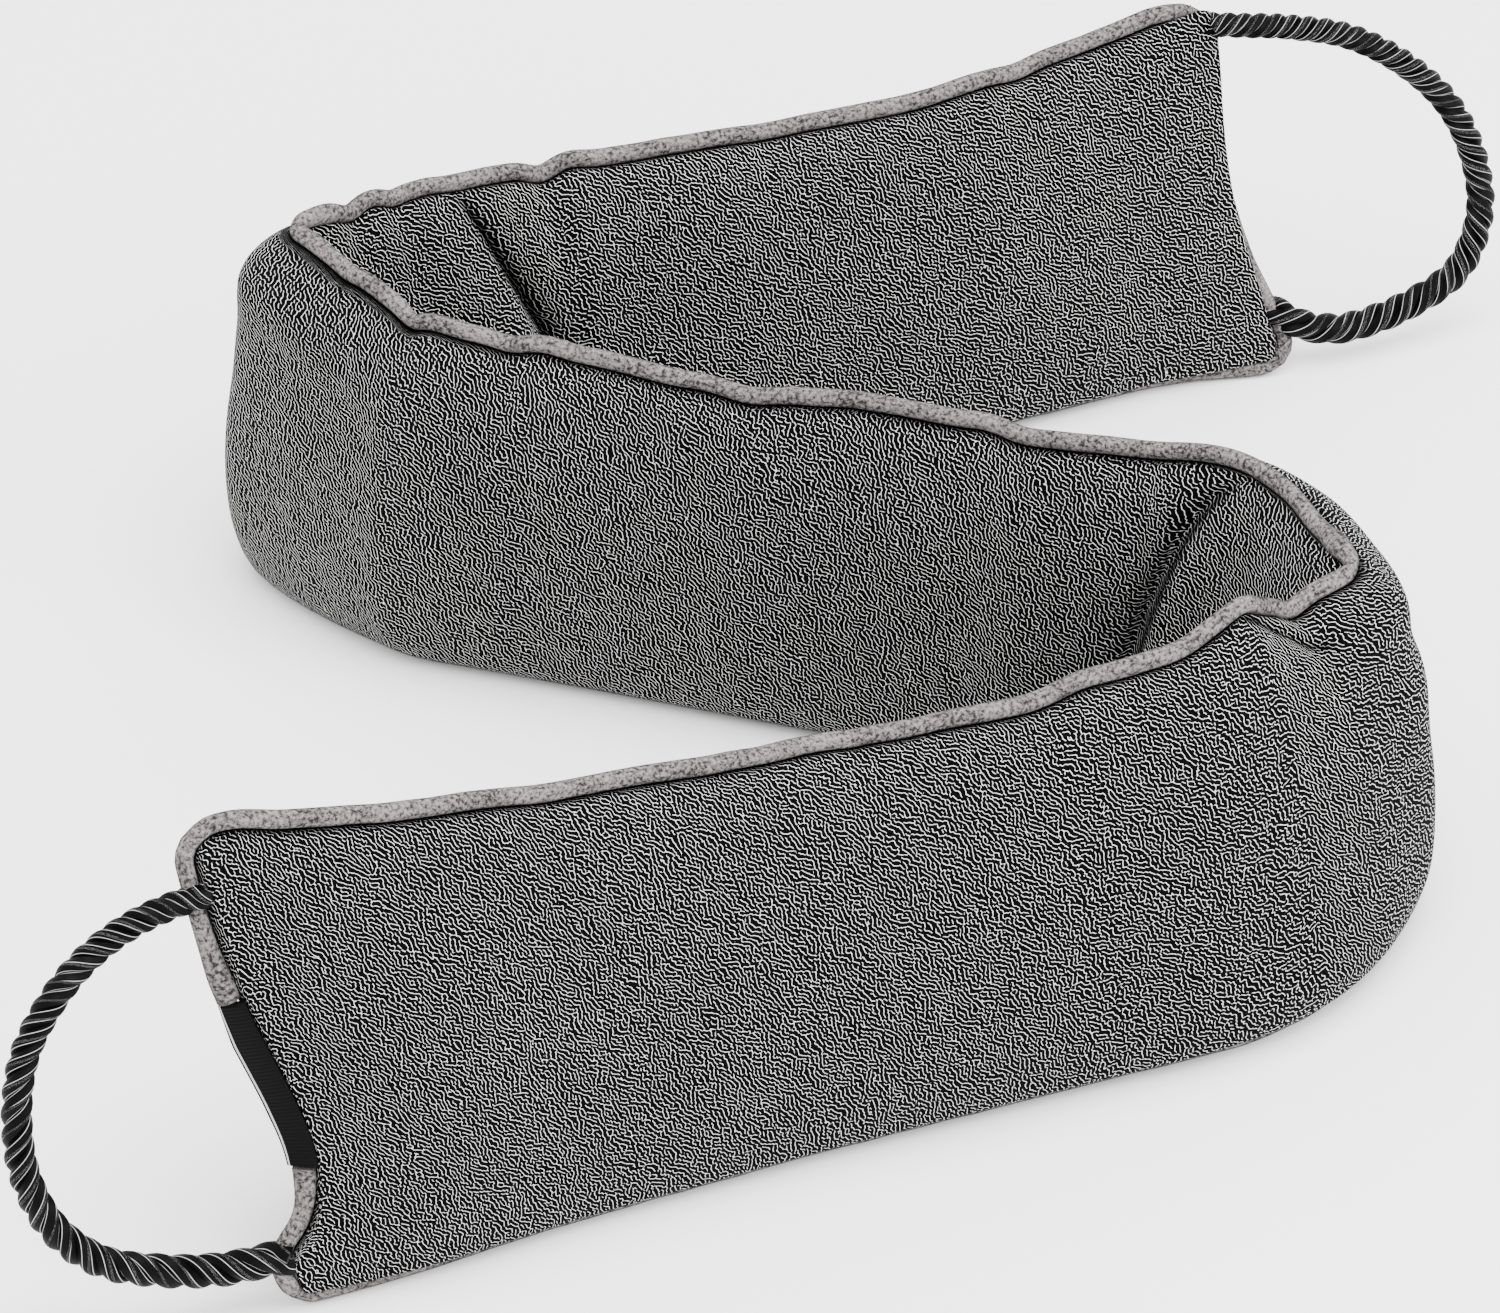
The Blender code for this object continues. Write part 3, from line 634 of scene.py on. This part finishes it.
# The closure tape.
# A flat black woven tape that closes the opening the filling went in by, sewn
# between the two stretches of piping at the left end, with a fine pale edge.
TAPE_TURN = np.radians(42.0)
TAPE_OUT = 1.2
tape_spots = left_run[0] - np.interp(np.linspace(TAPE_FROM + 0.008, TAPE_TO - 0.008, 60), shares,
                                     np.arange(ROWS))
end_inward = unit(sampled(seam_inward, tape_spots))
end_side = unit(sampled(seam_side, tape_spots))
tape_inward = end_inward * np.cos(TAPE_TURN) + end_side * np.sin(TAPE_TURN)
tape_side = end_side * np.cos(TAPE_TURN) - end_inward * np.sin(TAPE_TURN)
tape_centre = sampled(seam_centre, tape_spots) - end_inward * TAPE_OUT
TAPE_SECTION = (
    (1.9, -0.9), (2.2, 0.0), (1.9, 0.9), (1.0, 2.0), (0.6, 3.5), (-0.6, 3.8), (-1.0, 3.3),
    (-1.15, 1.6), (-1.15, -1.6), (-1.0, -4.6), (-0.6, -5.4), (0.6, -5.0), (1.0, -2.0),
)
section = np.array(TAPE_SECTION)
taper = np.interp(np.linspace(0, 1, 60), (0, 0.25, 0.7, 1), (0.55, 1.0, 1.0, 0.75))[:, None, None]
taper = np.where(section[:, 1:] > 0, taper, 1.0)
rings = (tape_centre[:, None] + tape_inward[:, None] * section[:, :1]
         + tape_side[:, None] * section[:, 1:] * taper)
tube_points, tube_faces = tube(rings)
tape_run = np.linspace(0, 46, len(rings))
tape_uv = np.stack([np.repeat(tape_run, len(section)), np.tile(section[:, 1], len(rings))], axis=1)
tape = add_piece("closure_tape_black", tube_points, tube_faces, np.vstack([tape_uv, tape_uv[[0, -1]]]))
outward(tape)

# Woven polyester tape: fine cross ribs, nearly black, and a pale line on the far edge,
# partly a pale selvedge thread and partly a painted highlight.
ribbon, tree, shader = fabric("polyester_tape_black")
place = node(tree, "ShaderNodeUVMap", uv_map="cloth")
ribs = node(tree, "ShaderNodeTexWave", [("Vector", place.outputs[0])], in_Scale=320.0,
            bands_direction="X")
axes = node(tree, "ShaderNodeSeparateXYZ", [(0, place.outputs[0])])
# A pale line near the far edge: partly a pale selvedge thread, partly a painted highlight.
selvedge_and_painted_highlight = node(tree, "ShaderNodeMath", [(0, axes.outputs[1])], operation="COMPARE", in_1=0.0026,
                 in_2=0.0003)
colour = node(tree, "ShaderNodeMix", [("Factor", selvedge_and_painted_highlight.outputs[0])], data_type="RGBA",
              in_6=srgb("#020202"), in_7=srgb("#B4B0AC"))
raised = node(tree, "ShaderNodeBump", [("Height", ribs.outputs[1])], in_Distance=0.0002,
              in_Strength=0.5)
tree.links.new(colour.outputs[2], shader.inputs["Base Color"])
tree.links.new(raised.outputs[0], shader.inputs["Normal"])
shader.inputs["Roughness"].default_value = 0.8
shader.inputs["Specular IOR Level"].default_value = 0.08
tape.data.materials.append(ribbon)
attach(tape, "root")
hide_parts("closure_tape")

# The rope handles.
# Twisted cord of three shiny black strands, each end sewn into the end seam near
# a corner. The cord is firm enough for the loop to stand out in the plane of the end.
LEFT_ROPE = (
    (1.5, 109.5, 2.6), (7.2, 107.8, 0.5), (20, 104.8, 0), (32, 99, 0), (42, 90, 0), (49.6, 78.6, 0),
    (53, 64.6, 0), (52.7, 49.6, 0), (47.4, 35, 0), (37, 24, 0), (23, 18, 0), (8.4, 14.6, 0),
    (-3.6, 15.2, 1.6), (-8.0, 15.6, 3.2),
)
RIGHT_ROPE = (
    (-7.0, 99.9, -1.5), (1.0, 98.9, 0), (13.8, 96.1, 0), (30.6, 90.4, 0), (45.6, 80.3, 0),
    (57.9, 66.8, 0), (64.8, 50.7, 0), (66, 34, 0), (59, 19.6, 0), (44.5, 12.5, 0), (28.5, 9.6, 0),
    (19, 10.8, 0), (12.4, 13.4, -0.3), (6.0, 17.0, -3.0),
)
ROPE_RADII = (3.1, 4.0)
ROPE_LAY = 15.0
STRAND_SIDES = 18
ROPES = (
    ("rope_left", "rope_handle_left", LEFT_ROPE, (-119.9, -258.8, 22.0, -1.0, 0.22, 60.0), 1),
    ("rope_right", "rope_handle_right", RIGHT_ROPE, (131.0, 140.0, 20.0, 1.0, 0.20, 60.0), -1),
)


def spline(points, count):
    """Catmull-Rom curve through the points at equal steps along its length."""
    p = np.asarray(points, dtype=float)
    p = np.vstack([2 * p[0] - p[1], p, 2 * p[-1] - p[-2]])
    t = np.linspace(0, len(p) - 3 - 1e-9, 40 * len(p))
    i = t.astype(int)
    u = (t - i)[:, None]
    a, b, c, d = p[i], p[i + 1], p[i + 2], p[i + 3]
    curve = 0.5 * (2 * b + (c - a) * u + (2 * a - 5 * b + 4 * c - d) * u ** 2
                   + (3 * b - a - 3 * c + d) * u ** 3)
    gone = np.concatenate([[0], np.cumsum(np.linalg.norm(np.diff(curve, axis=0), axis=1))])
    steps = np.linspace(0, gone[-1], count)
    return np.stack([np.interp(steps, gone, curve[:, k]) for k in range(3)], axis=1)


def rope_path(rows, plane, count):
    """Centre of the rope: foot + along out a + up z + front (lean (level - z) + aside)."""
    px, py, degrees, out, lean, level = plane
    a = np.radians(degrees)
    ahead = np.array([np.cos(a), np.sin(a), 0.0])
    aside = np.array([np.sin(a), -np.cos(a), 0.0])
    flat = spline(rows, count)
    return (np.array([px, py, 0.0]) + ahead * (out * flat[:, :1]) + up * flat[:, 1:2]
            + aside * (lean * (level - flat[:, 1:2]) + flat[:, 2:3])), aside


def strands(rows, plane, hand):
    """Three strands: C + h (cos w, sin w), w = 2 pi l / lay + 2 pi k / 3, each a round tube."""
    path, aside = rope_path(rows, plane, 620)
    gone = np.concatenate([[0], np.cumsum(np.linalg.norm(np.diff(path, axis=0), axis=1))])
    tangent = unit(np.gradient(path, axis=0))
    across = unit(aside - tangent * (tangent @ aside)[:, None])
    third = np.cross(tangent, across)
    radius = np.interp(gone, [0, gone[-1]], ROPE_RADII)
    all_points, all_faces, all_uv = [], [], []
    turn_round = np.arange(STRAND_SIDES) * 2 * np.pi / STRAND_SIDES
    for k in range(3):
        w = hand * (2 * np.pi * gone / (ROPE_LAY * radius / 3.5)) + 2 * np.pi * k / 3
        spoke = across * np.cos(w)[:, None] + third * np.sin(w)[:, None]
        middle = path + spoke * (0.52 * radius)[:, None]
        heading = unit(np.gradient(middle, axis=0))
        outer = unit(spoke - heading * (spoke * heading).sum(axis=1, keepdims=True))
        flank = np.cross(heading, outer)
        rings = middle[:, None] + (0.56 * radius)[:, None, None] * (
            outer[:, None] * np.cos(turn_round)[:, None] + flank[:, None] * np.sin(turn_round)[:, None])
        strand_points, strand_faces = tube(rings)
        offset = sum(len(p) for p in all_points)
        all_points.append(strand_points)
        all_faces.extend([[i + offset for i in face] for face in strand_faces])
        strand_uv = np.stack([np.repeat(gone, STRAND_SIDES),
                              np.tile(turn_round * 2.0, len(gone))], axis=1)
        all_uv.append(np.vstack([strand_uv, strand_uv[[0, -1]]]))
    return np.vstack(all_points), all_faces, np.vstack(all_uv), path, gone[-1]


# Bright viscose yarn in black: smooth filaments lie along each strand; the light they
# catch is painted into the colour as fine pale lines, painted highlights.
cordage, tree, shader = fabric("viscose_cord_black")
place = node(tree, "ShaderNodeUVMap", uv_map="cloth")
axes = node(tree, "ShaderNodeSeparateXYZ", [(0, place.outputs[0])])
slope = node(tree, "ShaderNodeMath", [(0, axes.outputs[0])], operation="MULTIPLY", in_1=0.08)
slid = node(tree, "ShaderNodeMath", [(0, slope.outputs[0]), (1, axes.outputs[1])], operation="ADD")
phase = node(tree, "ShaderNodeMath", [(0, slid.outputs[0])], operation="MULTIPLY", in_1=2500.0)
ripple = node(tree, "ShaderNodeMath", [(0, phase.outputs[0])], operation="SINE")
# Painted highlights: fine pale lines in the colour along each strand, where its filaments catch the
# light.
painted_glints = node(tree, "ShaderNodeMapRange", [("Value", ripple.outputs[0])],
              interpolation_type="SMOOTHSTEP")
painted_glints.inputs["From Min"].default_value = 0.965
painted_glints.inputs["From Max"].default_value = 1.0
colour = node(tree, "ShaderNodeMix", [("Factor", painted_glints.outputs[0])], data_type="RGBA",
              in_6=srgb("#020202"), in_7=srgb("#A8A8AA"))
raised = node(tree, "ShaderNodeBump", [("Height", ripple.outputs[0])], in_Distance=0.0002,
              in_Strength=0.6)
tree.links.new(colour.outputs[2], shader.inputs["Base Color"])
tree.links.new(raised.outputs[0], shader.inputs["Normal"])
shader.inputs["Roughness"].default_value = 0.5
shader.inputs["Specular IOR Level"].default_value = 0.05

for name, solid, rows, plane, hand in ROPES:
    rope_points, rope_faces, rope_uv, path, rope_length = strands(rows, plane, hand)
    rope = add_piece(name, rope_points, rope_faces, rope_uv)
    outward(rope)
    rope.data.materials.append(cordage)
    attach(rope, "root")
    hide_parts(solid)

# The surface it stands on, the light and the camera.
# A seamless pale sheet under a large soft light overhead and a weaker one from
# the right, as in a catalogue picture; the camera looks down at 35 degrees.
floor_mesh = bpy.data.meshes.new("paper_sweep")
floor_mesh.from_pydata([(-6, -6, 0), (6, -6, 0), (6, 6, 0), (-6, 6, 0)], [], [(0, 1, 2, 3)])
floor = bpy.data.objects.new("paper_sweep", floor_mesh)
bpy.context.scene.collection.objects.link(floor)
paper, tree, shader = fabric("white_paper_sheet")
shader.inputs["Base Color"].default_value = srgb("#FCFCFC")
shader.inputs["Roughness"].default_value = 0.9
floor.data.materials.append(paper)

world = bpy.data.worlds.new("studio")
bpy.context.scene.world = world
world.use_nodes = True
world.node_tree.nodes["Background"].inputs[0].default_value = (1.0, 1.0, 1.0, 1.0)
world.node_tree.nodes["Background"].inputs[1].default_value = 2.8

aim = MIDDLE * 0.001
for name, place_at, size, watts in (
    ("soft_overhead", (0.2, -0.3, 1.8), 1.6, 60.0),
    ("soft_right", (1.5, -0.6, 1.0), 1.0, 20.0),
):
    lamp = bpy.data.lights.new(name, "AREA")
    lamp.shape = "DISK"
    lamp.size = size
    lamp.energy = watts
    holder = bpy.data.objects.new(name, lamp)
    bpy.context.scene.collection.objects.link(holder)
    holder.location = place_at
    holder.rotation_euler = (Vector(aim) - Vector(place_at)).to_track_quat("-Z", "Y").to_euler()

DISTANCE = 2.67
TILT = np.radians(35.0)
view = bpy.data.cameras.new("view")
view.lens = 3900 * DISTANCE / 1500 * 36
view.clip_end = 30
camera = bpy.data.objects.new("view", view)
bpy.context.scene.collection.objects.link(camera)
camera.location = (aim[0], aim[1] - DISTANCE * np.cos(TILT), DISTANCE * np.sin(TILT))
camera.rotation_euler = (np.pi / 2 - TILT, 0, 0)
bpy.context.scene.camera = camera
